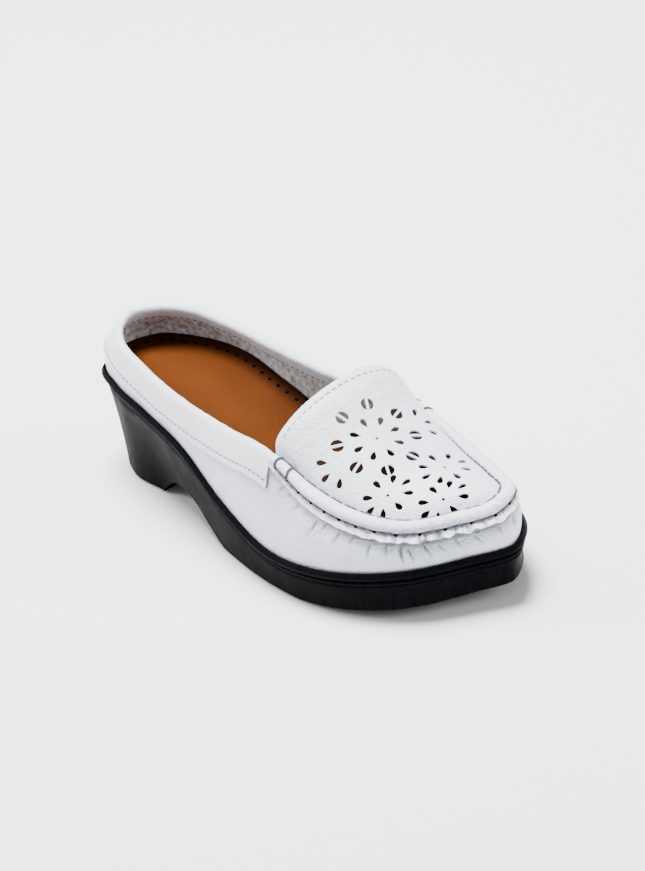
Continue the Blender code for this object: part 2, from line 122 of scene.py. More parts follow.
GAP = 0.0003
COARSE = 4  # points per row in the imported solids
STEPS = 30  # points per row here
PANEL_COLUMNS = 120
UPPER_RINGS = 54
TOP_PART = 0.5  # share of the wall whose slant side is measured
NUDGE = 0.02  # share of the wall between the two points that give its tangent
WALK_STRIDES = 12  # from the ring's centre out to a hole
WELD = 1e-6

# Angles in degrees above which an edge is sharp
SHARP = 35
SOLE_SHARP = 40
LEATHER_SHARP = 50
ROUND_SHARP = 60

# Soft forms of the leather, as depths, widths and wavelengths
CREASE_SCALE = 2.4  # times the depths in the table of creases
BILLOW, BILLOW_PITCH = 0.00022, 0.024  # slow swelling of the upper
LASTING, LASTING_PITCH = 0.00018, 0.0065  # fine ripple along the sole
GATHER, GATHER_PITCH = 0.0011, 0.0047  # folds of the seam allowance at the toe
FRILL, FRILL_PITCH = 0.0006, 0.0062
CRIMP, CRIMP_PITCH = 0.00040, 0.0027
CURL, CURL_FRONT = 0.00045, 0.0009  # how far the raw edge lifts, and more at the toe
TOE_AT, TOE_SPREAD = 0.090, 0.034  # middle and width of the gathers, along the seam
PLEAT_PITCH = 0.0040
BELLY_PITCH = 0.017
PUFF, DIP, DIP_WIDTH = 0.00035, 0.00035, 0.0009  # the binding between its edges, at its stitches
BAND_WAVE, BAND_WAVE_PITCH = 0.00012, 0.011
FOLD_FADE, FOLD_PITCH = 0.014, 0.0078  # soft folds behind the throat
RIM_SINK, RIM_REACH = 0.00028, 0.0016  # the panel where it runs into the roll

# The sole and the upper's edge from heel to toe, as shares of the sizes above.
Section = namedtuple("Section", "along lateral medial wedge tuck")
SOLE_SECTIONS = (
    Section(0.000, 0.010, -0.010, 1.00, 1.00),
    Section(0.023, 0.187, 0.168, 1.00, 0.65),
    Section(0.097, 0.278, 0.279, 1.00, 0.16),
    Section(0.208, 0.341, 0.347, 0.96, 0.90),
    Section(0.338, 0.392, 0.338, 0.76, 0.35),
    Section(0.475, 0.463, 0.374, 0.30, 0.00),
    Section(0.626, 0.516, 0.468, 0.00, 0.00),
    Section(0.714, 0.511, 0.489, 0.00, 0.00),
    Section(0.815, 0.444, 0.463, 0.00, 0.10),
    Section(0.904, 0.289, 0.396, 0.00, 0.20),
    Section(0.963, 0.063, 0.290, 0.00, 0.50),
    Section(1.000, -0.145, 0.145, 0.00, 0.60),
)
Edge = namedtuple("Edge", "along lateral medial height inner bulge roll crest round skew")
UPPER_EDGES = (
    Edge(0.040, 0.005, -0.005, 0.52, 0.00, 0.8, 0.0, 0.00, 0.34, 0.30),
    Edge(0.056, 0.099, 0.086, 0.52, 0.00, 0.8, 0.0, 0.00, 0.34, 0.30),
    Edge(0.106, 0.211, 0.193, 0.50, 0.00, 0.6, 0.0, 0.00, 0.34, 0.30),
    Edge(0.208, 0.283, 0.266, 0.44, 0.00, 0.4, 0.0, 0.00, 0.34, 0.30),
    Edge(0.340, 0.333, 0.286, 0.50, 0.00, 0.4, 0.0, 0.00, 0.34, 0.30),
    Edge(0.475, 0.354, 0.312, 0.79, -0.02, 0.5, 0.0, 0.00, 0.34, 0.30),
    Edge(0.626, 0.381, 0.395, 1.00, -0.10, 0.7, 0.6, 1.00, 0.34, 0.30),
    Edge(0.709, 0.379, 0.396, 0.72, 0.02, 1.0, 0.9, 0.66, 0.50, 0.02),
    Edge(0.801, 0.337, 0.366, 0.49, 0.07, 1.0, 1.0, 0.42, 0.68, -0.06),
    Edge(0.884, 0.228, 0.326, 0.36, 0.09, 1.0, 1.0, 0.31, 0.85, 0.00),
    Edge(0.936, 0.028, 0.280, 0.325, 0.07, 1.0, 1.0, 0.20, 1.00, 0.00),
    Edge(0.962, -0.140, 0.140, 0.325, 0.00, 1.0, 1.0, 0.00, 1.00, 0.00),
)
JUNCTION = 6
Level = namedtuple("Level", "out down")
BAND_LEVELS = (
    Level(-0.70, 1.00),
    Level(-0.80, 0.93),
    Level(-0.80, 0.85),
    Level(-0.50, 0.77),
    Level(-0.50, 0.67),
    Level(-0.75, 0.60),
    Level(-0.75, 0.51),
    Level(-0.10, 0.42),
    Level(0.00, 0.22),
    Level(-0.45, 0.00),
)
ArchPoint = namedtuple("ArchPoint", "along up")
ARCH = (
    ArchPoint(0.187, -0.10),
    ArchPoint(0.214, 0.38),
    ArchPoint(0.246, 0.78),
    ArchPoint(0.286, 1.00),
    ArchPoint(0.338, 0.94),
    ArchPoint(0.384, 0.52),
    ArchPoint(0.433, 0.15),
    ArchPoint(0.474, -0.04),
)
TreadRun = namedtuple("TreadRun", "first count half")
TREAD_RUNS = (TreadRun(0.075, 3, 0.15), TreadRun(0.480, 5, 0.36))
RollPoint = namedtuple("RollPoint", "across height")
ROLL = (
    RollPoint(-0.03, 0.40),
    RollPoint(0.12, 0.84),
    RollPoint(0.42, 1.00),
    RollPoint(0.75, 0.78),
    RollPoint(0.94, 0.34),
)
# Flowers from the ring's centre, in RINGs. Length shortens the ring of petals along the foot.
Flower = namedtuple("Flower", "ahead aside petals eye length")
EIGHTH = math.tau / 8
WHOLE = tuple(range(8))
FLOWERS = (
    Flower(0.00, 0.00, WHOLE, True, 0.95),
    Flower(1.51, -0.84, WHOLE, True, 0.74),
    Flower(1.70, 0.75, WHOLE, True, 0.82),
    Flower(2.56, 0.03, WHOLE, True, 0.68),
    Flower(0.08, -1.10, (5, 6, 7), False, 0.9),
    Flower(0.10, 1.05, (1, 2, 3), False, 0.9),
)


# Loops

def unit(vectors):
    return vectors / np.linalg.norm(vectors, axis=-1, keepdims=True)


def around(rows, outer, inner):
    return [outer(row) for row in rows] + [inner(row) for row in rows[-2:0:-1]]


def smooth_loop(controls, steps):
    here = np.array(controls, float)
    after = np.roll(here, -1, axis=0)
    length = np.linalg.norm((after - here)[:, :2], axis=1)[:, None]
    slope = (after - here) / length
    length_before = np.roll(length, 1, axis=0)
    slope_before = np.roll(slope, 1, axis=0)
    tangent = (slope_before * length + slope * length_before) / (length + length_before)
    leaving = (tangent * length)[:, None]
    arriving = (np.roll(tangent, -1, axis=0) * length)[:, None]
    t = (np.arange(steps) / steps)[None, :, None]
    curve = (
        (2 * t**3 - 3 * t**2 + 1) * here[:, None]
        + (t**3 - 2 * t**2 + t) * leaving
        + (3 * t**2 - 2 * t**3) * after[:, None]
        + (t**3 - t**2) * arriving
    )
    return curve.reshape(-1, here.shape[1])


def smooth_line(points, steps):
    """An open curve through points, as rows of numbers."""
    points = np.array(points, float)
    ends = [2 * points[0] - points[1], *points, 2 * points[-1] - points[-2]]
    line = []
    for a, b, c, d in zip(ends, ends[1:], ends[2:], ends[3:]):
        for t in np.arange(steps) / steps:
            line.append(
                b + 0.5 * t * (c - a + t * (2 * a - 5 * b + 4 * c - d + t * (3 * (b - c) + d - a)))
            )
    line.append(points[-1])
    return np.array(line)


def toe_lift(x):
    share = np.clip((np.asarray(x) / LENGTH - SPRING_START) / (1 - SPRING_START), 0, None)
    return TOE_SPRING * share**SPRING_POWER


def sole_control(row, y):
    x = row.along * LENGTH
    rim = PLATFORM + (HEEL_RISE - PLATFORM) * row.wedge + float(toe_lift(x))
    return (x, y, rim, row.tuck * TUCK)


def sole_loop(steps):
    return smooth_loop(
        around(
            SOLE_SECTIONS,
            lambda row: sole_control(row, -row.lateral * BALL_WIDTH),
            lambda row: sole_control(row, row.medial * BALL_WIDTH),
        ),
        steps,
    )


def edge_control(row, y, height, roll):
    x = row.along * LENGTH
    if row.roll:
        x += APRON_TURN * y
    shape = (row.bulge * BULGE, roll, row.crest * CREST, row.round, row.skew)
    return (x, y, height * UPPER_HEIGHT, *shape)


def edge_loop(steps):
    return smooth_loop(
        around(
            UPPER_EDGES,
            lambda row: edge_control(row, -row.lateral * BALL_WIDTH, row.height, row.roll),
            lambda row: edge_control(
                row, row.medial * BALL_WIDTH, row.height + row.inner, row.roll * ROLL_INNER_SIDE
            ),
        ),
        steps,
    )


def outward(loop):
    along = np.roll(loop, -1, axis=0)[:, :2] - np.roll(loop, 1, axis=0)[:, :2]
    return unit(np.stack([along[:, 1], -along[:, 0]], axis=1))


PACKED_RIM = sole_loop(COARSE)
MIDDLE = (PACKED_RIM[:, :2].max(axis=0) + PACKED_RIM[:, :2].min(axis=0)) / 2
SHIFT = np.array([-MIDDLE[0], -MIDDLE[1], 0.0])
RIM = sole_loop(STEPS)
EDGE = edge_loop(STEPS)
COUNT = len(RIM)
OUT = outward(RIM)
JOIN_OUTER = JUNCTION * STEPS
JOIN_INNER = COUNT - JOIN_OUTER
COLLAR = [i % COUNT for i in range(JOIN_INNER, COUNT + JOIN_OUTER + 1)]
SEAM = list(range(JOIN_OUTER, JOIN_INNER + 1))


def at_rim(out, down):
    return np.column_stack([RIM[:, :2] + OUT * out, RIM[:, 2] - down])


def wall_point(share):
    foot = at_rim(-LIP, SEAT - GAP)
    top = RIM[:, 2] + EDGE[:, 2]
    plan = foot[:, :2] + (EDGE[:, :2] - foot[:, :2]) * np.reshape(share**LEAN, (-1, 1))
    swelling = np.clip(np.sin(np.pi * share), 0, None) ** BULGE_ONSET
    plan = plan + OUT * np.reshape(EDGE[:, 3] * swelling, (-1, 1))
    return np.column_stack([plan, foot[:, 2] + (top - foot[:, 2]) * share])


TOP_SIDE = wall_point(np.ones(COUNT)) - wall_point(np.full(COUNT, 1 - TOP_PART))
WALL_SIDE = np.linalg.norm(TOP_SIDE, axis=1) / TOP_PART


def wall_frame(down):
    share = 1 - np.broadcast_to(down, COUNT) / WALL_SIDE
    point = wall_point(share)
    rising = unit(wall_point(share) - wall_point(share - NUDGE))
    along = np.roll(point, -1, axis=0) - np.roll(point, 1, axis=0)
    return point, unit(np.cross(along, rising)), rising


def run_of(line):
    """Distance travelled along a line of points."""
    return np.r_[0.0, np.cumsum(np.linalg.norm(np.diff(line, axis=0), axis=1))]


SEAM_RUN = run_of(wall_point(np.ones(COUNT))[SEAM])
SEAM_LENGTH = SEAM_RUN[-1]


# Meshes

def loft_faces(rings, count, closed):
    faces = []
    for ring in range(rings - 1):
        low, high = ring * count, (ring + 1) * count
        for i in range(count if closed else count - 1):
            j = (i + 1) % count
            faces.append((low + i, low + j, high + j, high + i))
    return faces


def cap_faces(start, count, up):
    faces = [(start, start + 1, start + count - 1)]
    for i in range(1, count // 2 - 1):
        faces.append((start + i, start + i + 1, start + count - i - 1, start + count - i))
    middle = start + count // 2
    faces.append((middle - 1, middle, middle + 1))
    return faces if up else [face[::-1] for face in faces]


def add_values(thing, name, values):
    layer = thing.data.attributes.new(name, "FLOAT", "POINT")
    layer.data.foreach_set("value", np.ravel(values).astype(np.float32))


def piece(name, points, faces, materials, sharp=SHARP):
    """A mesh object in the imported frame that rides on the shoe's one body."""
    mesh = bpy.data.meshes.new(name)
    mesh.from_pydata([tuple(point) for point in np.array(points) + SHIFT], [], faces)
    mesh.shade_smooth()
    mesh.set_sharp_from_angle(angle=math.radians(sharp))
    thing = bpy.data.objects.new(name, mesh)
    bpy.context.scene.collection.objects.link(thing)
    for material in materials:
        mesh.materials.append(material)
    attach(thing, "root")
    return thing


def add_thickness(thing, thickness, outwards, inside_material=0, rim_material=0):
    solidify = thing.modifiers.new("Thickness", "SOLIDIFY")
    solidify.thickness = thickness
    solidify.offset = 1.0 if outwards else -1.0
    solidify.use_rim = True
    solidify.material_offset = inside_material
    solidify.material_offset_rim = rim_material


def cut(thing, cutter, crossing=False):
    boolean = thing.modifiers.new("Cut", "BOOLEAN")
    boolean.operation = "DIFFERENCE"
    boolean.solver = "EXACT"
    boolean.use_self = crossing
    boolean.object = cutter


def bake(thing, cutters=(), sharp=SHARP):
    """Applies the modifiers and removes the cutters."""
    depsgraph = bpy.context.evaluated_depsgraph_get()
    mesh = bpy.data.meshes.new_from_object(thing.evaluated_get(depsgraph))
    thing.modifiers.clear()
    thing.data = mesh
    mesh.set_sharp_from_angle(angle=math.radians(sharp))
    for cutter in cutters:
        bpy.data.objects.remove(cutter, do_unlink=True)


def cutter_object(name, body):
    bmesh.ops.recalc_face_normals(body, faces=body.faces)
    mesh = bpy.data.meshes.new(name)
    body.to_mesh(mesh)
    body.free()
    thing = bpy.data.objects.new(name, mesh)
    bpy.context.scene.collection.objects.link(thing)
    return thing


def waves(run, pitch, seed):
    """A smooth uneven ripple between about -1 and 1 along a run."""
    turn = math.tau * np.asarray(run) / pitch
    return (
        np.sin(turn + seed)
        + 0.7 * np.sin(turn * 0.618 + 2.1 * seed + 1.0)
        + 0.5 * np.sin(turn * 1.713 + 3.7 * seed + 2.0)
    ) / 1.6


# Materials

# Grain of the leather, as cells or patches per metre, and its depth
PEBBLES, PEBBLE_DEPTH = 900.0, 0.0006
SMALL_GRAIN, SMALL_DEPTH = 2100.0, 0.00025
FINE_CREASES, FINE_CREASE_DEPTH = 420.0, 0.0003
PATCHES = 34.0
FOLD_SHADE_COLOUR = (0.17, 0.18, 0.215)  # painted shade, deep in a fold


class Nodes:
    """Builds one material's nodes, joined by the sockets' names."""

    def __init__(self, name, colour, roughness):
        self.material = bpy.data.materials.new(name)
        self.material.use_nodes = True
        self.tree = self.material.node_tree
        self.shader = self.tree.nodes["Principled BSDF"]
        self.shader.inputs["Base Color"].default_value = (*colour, 1)
        self.shader.inputs["Roughness"].default_value = roughness
        self.place = self.add("ShaderNodeTexCoord").outputs["Object"]

    def add(self, kind, **values):
        node = self.tree.nodes.new(kind)
        for name, value in values.items():
            if hasattr(node, name):
                setattr(node, name, value)
            else:
                node.inputs[name.replace("_", " ")].default_value = value
        return node

    def join(self, source, target):
        self.tree.links.new(source, target)

    def stretched(self, scale, turn=(0, 0, 0)):
        mapping = self.add("ShaderNodeMapping")
        mapping.inputs["Scale"].default_value = scale
        mapping.inputs["Rotation"].default_value = turn
        self.join(self.place, mapping.inputs["Vector"])
        return mapping.outputs["Vector"]

    def noise(self, scale, detail=3.0, where=None):
        node = self.add("ShaderNodeTexNoise", Scale=scale, Detail=detail)
        self.join(where or self.place, node.inputs["Vector"])
        return node.outputs["Fac"]

    def cells(self, scale):
        node = self.add("ShaderNodeTexVoronoi", feature="SMOOTH_F1", Scale=scale)
        self.join(self.place, node.inputs["Vector"])
        return node.outputs["Distance"]

    def ramp(self, source, low, high, start, end):
        node = self.add("ShaderNodeMapRange")
        node.inputs["From Min"].default_value = low
        node.inputs["From Max"].default_value = high
        node.inputs["To Min"].default_value = start
        node.inputs["To Max"].default_value = end
        self.join(source, node.inputs["Value"])
        return node.outputs["Result"]

    def colours(self, source, *stops):
        node = self.add("ShaderNodeValToRGB")
        ramp = node.color_ramp
        while len(ramp.elements) < len(stops):
            ramp.elements.new(0.5)
        for element, (at, colour) in zip(ramp.elements, stops):
            element.position = at
            element.color = (*colour, 1)
        self.join(source, node.inputs["Fac"])
        return node.outputs["Color"]

    def bump(self, height, distance, strength=1.0, under=None):
        node = self.add("ShaderNodeBump", Strength=strength, Distance=distance)
        self.join(height, node.inputs["Height"])
        if under:
            self.join(under, node.inputs["Normal"])
        return node.outputs["Normal"]

    def finish(self, normal=None, colour=None, roughness=None, **values):
        for source, name in ((normal, "Normal"), (colour, "Base Color"), (roughness, "Roughness")):
            if source:
                self.join(source, self.shader.inputs[name])
        for name, value in values.items():
            self.shader.inputs[name.replace("_", " ")].default_value = value
        return self.material


def leather(name, light, dark, grain=1.0):
    nodes = Nodes(name, light, 0.42)
    pebbles = nodes.cells(PEBBLES)
    small = nodes.cells(SMALL_GRAIN)
    creases = nodes.noise(FINE_CREASES, 7.0, nodes.stretched((1.0, 0.35, 1.0), (0, 0, 0.6)))
    soft = nodes.noise(PATCHES, 3.0)
    lines = nodes.ramp(creases, 0.35, 0.65, 0.0, 1.0)
    under = nodes.bump(lines, FINE_CREASE_DEPTH * grain, 0.45)
    under = nodes.bump(pebbles, PEBBLE_DEPTH * grain, 0.6, under)
    normal = nodes.bump(small, SMALL_DEPTH * grain, 0.7, under)
    # painted shade: the shade attribute pushes the colour towards the dark fold colour in creases,
    # gathers, pleats and under the flange
    shade = nodes.add("ShaderNodeAttribute", attribute_name="shade").outputs["Fac"]
    patches = nodes.ramp(soft, 0.35, 0.62, 0.24, 0.0)
    total = nodes.add("ShaderNodeMath", operation="ADD")
    nodes.join(shade, total.inputs[0])
    nodes.join(patches, total.inputs[1])
    colour = nodes.colours(total.outputs[0], (0.0, light), (0.24, dark), (1.0, FOLD_SHADE_COLOUR))
    rough = nodes.ramp(pebbles, 0.1, 0.6, 0.36, 0.52)
    return nodes.finish(normal, colour, rough, Coat_Weight=0.12, Coat_Roughness=0.3)


def suede():
    nodes = Nodes("lining_suede", (0.36, 0.35, 0.33), 0.95)
    fibres = nodes.noise(1500.0, 6.0, nodes.stretched((1.0, 1.0, 0.45), (0.4, 0.3, 0.2)))
    mottle = nodes.noise(420.0, 7.0)
    normal = nodes.bump(fibres, 0.0006, 0.8, nodes.bump(mottle, 0.0008, 0.5))
    # painted shade: the lining is darkened towards the toe, where it lies far inside the shoe
    axes = nodes.add("ShaderNodeSeparateXYZ")
    nodes.join(nodes.place, axes.inputs[0])
    deep = nodes.ramp(axes.outputs["X"], 0.010, 0.035, 0.0, 0.6)
    shaded = nodes.add("ShaderNodeMath", operation="SUBTRACT")
    nodes.join(mottle, shaded.inputs[0])
    nodes.join(deep, shaded.inputs[1])
    colour = nodes.colours(
        shaded.outputs[0],
        (0.0, (0.02, 0.02, 0.02)),
        (0.34, (0.36, 0.36, 0.355)),
        (0.5, (0.66, 0.665, 0.66)),
        (0.62, (0.90, 0.905, 0.90)),
    )
    return nodes.finish(normal, colour, None, Sheen_Weight=0.25, Sheen_Roughness=0.5)


def tan_leather():
    nodes = Nodes("tan_leather_insole", (0.26, 0.075, 0.028), 0.62)
    grain = nodes.cells(1700.0)
    soft = nodes.noise(45.0, 4.0)
    # painted shade: the middle attribute sets how lit the insole looks, dark at its rim and towards the
    # toe
    edge = nodes.add("ShaderNodeAttribute", attribute_name="middle").outputs["Fac"]
    mix = nodes.add("ShaderNodeMath", operation="MULTIPLY_ADD")
    nodes.join(soft, mix.inputs[0])
    mix.inputs[1].default_value = 0.28
    nodes.join(edge, mix.inputs[2])
    colour = nodes.colours(
        mix.outputs[0], (0.14, (0.0030, 0.0011, 0.0006)), (0.38, (0.024, 0.0064, 0.0014)),
        (0.70, (0.064, 0.0165, 0.0026)), (1.0, (0.094, 0.0250, 0.0040)),
    )
    normal = nodes.bump(grain, 0.00016, 0.7, nodes.bump(soft, 0.0006, 0.3))
    return nodes.finish(normal, colour, nodes.ramp(grain, 0.1, 0.6, 0.55, 0.72), Specular_IOR_Level=0.03)


def rubber():
    nodes = Nodes("sole_rubber_moulded", (0.003, 0.0032, 0.004), 0.4)
    streaks = nodes.noise(520.0, 5.0, nodes.stretched((1.0, 1.0, 0.22), (0, 0.7, 0.3)))
    soft = nodes.noise(60.0, 3.0)
    normal = nodes.bump(streaks, 0.00022, 0.6)
    colour = nodes.colours(streaks, (0.35, (0.0016, 0.0018, 0.0024)), (0.7, (0.0036, 0.0039, 0.0050)))
    return nodes.finish(normal, colour, nodes.ramp(soft, 0.3, 0.7, 0.42, 0.55), Specular_IOR_Level=0.015)


def cotton(name, colour, dark, sheen=0.3, gloss=0.5):
    nodes = Nodes(name, colour, 0.75)
    fibres = nodes.noise(5200.0, 4.0)
    shade = nodes.colours(fibres, (0.3, dark), (0.7, colour))
    normal = nodes.bump(fibres, 0.0001, 0.6)
    return nodes.finish(normal, shade, None, Sheen_Weight=sheen, Specular_IOR_Level=gloss)


WHITE = leather("white_leather_upper", (0.74, 0.80, 0.89), (0.65, 0.71, 0.81))
APRON_WHITE = leather("white_leather_apron", (0.81, 0.865, 0.94), (0.73, 0.785, 0.87))
BINDING_WHITE = leather("white_leather_binding", (0.81, 0.86, 0.935), (0.73, 0.785, 0.87), 0.55)
SUEDE = suede()
TAN = tan_leather()
RUBBER = rubber()
LILAC = cotton("seam_thread", (0.105, 0.10, 0.135), (0.05, 0.048, 0.068), 0.05, 0.2)
DASH = cotton("edge_thread", (0.10, 0.10, 0.125), (0.05, 0.05, 0.065), 0.05, 0.2)
DARK = cotton("hole_shadow", (0.006, 0.006, 0.008), (0.003, 0.003, 0.004), 0.0, 0.0)
# painted shade: the apron's underside is near black, standing for the shade inside the shoe seen through
# the piercing
APRON_UNDERSIDE_SHADE = cotton("apron_underside_painted_shade", (0.055, 0.052, 0.05), (0.03, 0.03, 0.03), 0.0, 0.1)
RAW_EDGE = cotton("raw_edge", (0.22, 0.225, 0.25), (0.13, 0.13, 0.15))


# Sole

def make_sole():
    band_out = BAND_LEVELS[0].out * LIP
    band = at_rim(band_out, BAND)
    base_plan = RIM[:, :2] + OUT * (band_out - RIM[:, 3:4])
    base = np.column_stack([base_plan, toe_lift(base_plan[:, 0])])
    floor_ring = base.copy()
    floor_ring[:, :2] -= OUT * BASE_ROUND
    rings = [floor_ring]
    for share in np.linspace(0, 1, 12)[:-1]:
        ring = base + (band - base) * share
        ring[:, :2] = base[:, :2] + (band - base)[:, :2] * share**WALL_FLARE
        ring[:, 2] += BASE_ROUND * (1 - share)
        rings.append(ring)
    rings += [at_rim(out * LIP, down * BAND) for out, down in smooth_line(BAND_LEVELS, 3)]
    seat_out = GAP - LIP
    rings += [at_rim(seat_out, LIP_ROUND), at_rim(seat_out, SEAT)]
    faces = loft_faces(len(rings), COUNT, True)
    faces += cap_faces(0, COUNT, False)
    faces += cap_faces((len(rings) - 1) * COUNT, COUNT, True)
    sole = piece("sole_moulded", np.vstack(rings), faces, [RUBBER], SOLE_SHARP)
    body = bmesh.new()
    arch = smooth_line([(point.along * LENGTH, point.up * ARCH_RISE) for point in ARCH], 5)
    outline = [(arch[0][0], -ARCH_RISE), *arch, (arch[-1][0], -ARCH_RISE)]
    sides = [
        [body.verts.new(Vector((x, side * BALL_WIDTH, z)) + Vector(SHIFT)) for x, z in outline]
        for side in (-1, 1)
    ]
    body.faces.new(sides[0])
    body.faces.new(sides[1])
    for i in range(len(outline)):
        j = (i + 1) % len(outline)
        body.faces.new((sides[0][i], sides[0][j], sides[1][j], sides[1][i]))
    arch_cutter = cutter_object("arch_cutter", body)
    body = bmesh.new()
    for run in TREAD_RUNS:
        for k in range(run.count):
            x = run.first * LENGTH + k * GROOVE_PITCH
            size = (GROOVE_WIDTH, 2 * run.half * BALL_WIDTH, 2 * GROOVE_DEPTH)
            place = Matrix.Translation(Vector((x, 0, 0)) + Vector(SHIFT)) @ Matrix.Diagonal((*size, 1))
            bmesh.ops.create_cube(body, size=1, matrix=place)
    tread_cutter = cutter_object("tread_cutter", body)
    cut(sole, arch_cutter)
    cut(sole, tread_cutter)
    bake(sole, [arch_cutter, tread_cutter], SOLE_SHARP)
    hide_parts("sole")


# Upper

# Creases of the vamp, by run along the seam from its outer end and distance below the flange:
# where each starts, how far it runs, its slant along the seam, its width and depth.
Crease = namedtuple("Crease", "run below length slant width depth")
CREASES = (
    Crease(0.010, 0.001, 0.009, -0.004, 0.0008, 0.00030),
    Crease(0.016, 0.000, 0.007, -0.005, 0.0007, 0.00028),
    Crease(0.021, 0.001, 0.010, -0.006, 0.0009, 0.00034),
    Crease(0.027, 0.000, 0.006, -0.004, 0.0006, 0.00026),
    Crease(0.033, 0.001, 0.014, -0.007, 0.0010, 0.00042),
    Crease(0.038, 0.000, 0.008, -0.004, 0.0007, 0.00030),
    Crease(0.045, 0.001, 0.010, -0.004, 0.0009, 0.00034),
    Crease(0.052, 0.000, 0.007, -0.003, 0.0007, 0.00030),
    Crease(0.060, 0.001, 0.011, -0.003, 0.0010, 0.00038),
    Crease(0.067, 0.000, 0.008, -0.001, 0.0008, 0.00034),
    Crease(0.0725, 0.000, 0.012, 0.001, 0.0010, 0.00050),
    Crease(0.0755, 0.001, 0.010, 0.002, 0.0008, 0.00042),
    Crease(0.082, 0.000, 0.009, 0.003, 0.0009, 0.00040),
    Crease(0.088, 0.001, 0.008, 0.004, 0.0008, 0.00036),
    Crease(0.095, 0.000, 0.008, 0.003, 0.0008, 0.00034),
    Crease(0.103, 0.001, 0.007, 0.002, 0.0008, 0.00032),
    Crease(0.112, 0.000, 0.008, 0.001, 0.0009, 0.00032),
    Crease(0.122, 0.001, 0.009, -0.002, 0.0009, 0.00032),
    Crease(0.136, 0.000, 0.009, -0.003, 0.0009, 0.00032),
    Crease(0.150, 0.001, 0.010, -0.004, 0.0010, 0.00034),
    Crease(0.165, 0.000, 0.010, 0.003, 0.0010, 0.00034),
    Crease(0.180, 0.001, 0.009, 0.004, 0.0010, 0.00030),
)


def crease_depth(run, below):
    """How far the leather sinks at this run along the seam and distance below the flange."""
    depth = np.zeros(np.broadcast(run, below).shape)
    for crease in CREASES:
        along = (below - crease.below) / crease.length
        centre = crease.run + crease.slant * along + 0.0003 * np.sin(5 * along + crease.run * 900)
        across = (run - centre) / (0.75 * crease.width)
        fade = np.clip(along * 6, 0, 1) * np.clip((1 - along) * 1.6, 0, 1)
        fade = np.where((along > 0) & (along < 1), fade, 0)
        depth += crease.depth * fade * (np.exp(-across**2) - 0.45 * np.exp(-(across - 1.7) ** 2))
    return depth


def make_upper():
    share_row = np.linspace(0, 1, UPPER_RINGS)
    run = np.full(COUNT, -1.0)
    run[SEAM] = SEAM_RUN
    rings = []
    shades = []
    for share in share_row:
        down = WALL_SIDE * (1 - share)
        point, normal, _ = wall_frame(down)
        below = down - FLANGE * EDGE[:, 4]
        sink = np.where(run >= 0, CREASE_SCALE * crease_depth(run, below), 0)
        loop_run = run_of(point)
        billow = BILLOW * waves(loop_run, BILLOW_PITCH, 1.0 + 2 * share) * math.sin(math.pi * share)
        tight = LASTING * waves(loop_run, LASTING_PITCH, 3.0) * math.exp(-share / 0.08)
        rings.append(point - normal * (sink - billow + tight * 0.5)[:, None])
        # painted shade: darker in the creases' troughs and in a band just under the flange
        under_flange = np.where(run >= 0, np.exp(-((below - 0.0002) / 0.0009) ** 2), 0)
        shades.append(np.clip(sink * 800, 0, 0.65) + 0.60 * under_flange)
    faces = loft_faces(len(rings), COUNT, True)
    upper = piece("upper_leather", np.vstack(rings), faces, [WHITE, SUEDE])
    add_values(upper, "shade", shades)
    add_thickness(upper, LEATHER, False, 1, 0)
    bake(upper, (), LEATHER_SHARP)
    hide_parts("upper")


def shortened(line, by):
    line = line.copy()
    line[0] += unit(line[1] - line[0]) * by
    line[-1] += unit(line[-2] - line[-1]) * by
    return line


def band_rings():
    """The binding's inner face, from its outer raw edge over the top to its inner one."""
    rings = []
    for down in np.linspace(BAND_OUTSIDE, BINDING, 16):
        point, normal, _ = wall_frame(down)
        dip = DIP * math.exp(-(((down - BAND_OUTSIDE + STITCH_INSET) / DIP_WIDTH) ** 2))
        puff = PUFF * math.sin(math.pi * (BAND_OUTSIDE - down) / BAND_OUTSIDE)
        rings.append(point + normal * (GAP + max(puff - dip, 0)))
    point, normal, rising = wall_frame(0.0)
    centre = point - normal * LEATHER / 2
    radius = LEATHER / 2 + GAP
    for turn in np.linspace(0, math.pi, 9):
        rings.append(centre + normal * math.cos(turn) * radius + rising * math.sin(turn) * radius)
    for down in np.linspace(BINDING, BAND_INSIDE, 8):
        point, normal, _ = wall_frame(down)
        rings.append(point - normal * (LEATHER + GAP))
    return [shortened(ring[COLLAR], GAP) for ring in rings]


def make_collar_band():
    rings = band_rings()
    count = len(rings[0])
    run = run_of(rings[0])
    for k, ring in enumerate(rings):
        swell = BAND_WAVE * waves(run, BAND_WAVE_PITCH, 0.4 * k / len(rings) + 2.0)
        ring[:, 2] += swell
    faces = loft_faces(len(rings), count, False)
    band = piece("collar_binding", np.vstack(rings), faces, [BINDING_WHITE, RAW_EDGE])
    add_thickness(band, BINDING, True, 0, 1)
    bake(band, (), LEATHER_SHARP)
    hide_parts("collar_band")


# Apron

def folds(run, pitch, seed):
    """Gathers with narrow valleys: 0 in a valley and 1 between two."""
    return np.abs(np.sin(math.pi * run / pitch + 1.4 * waves(run, 3.1 * pitch, seed))) ** 0.6


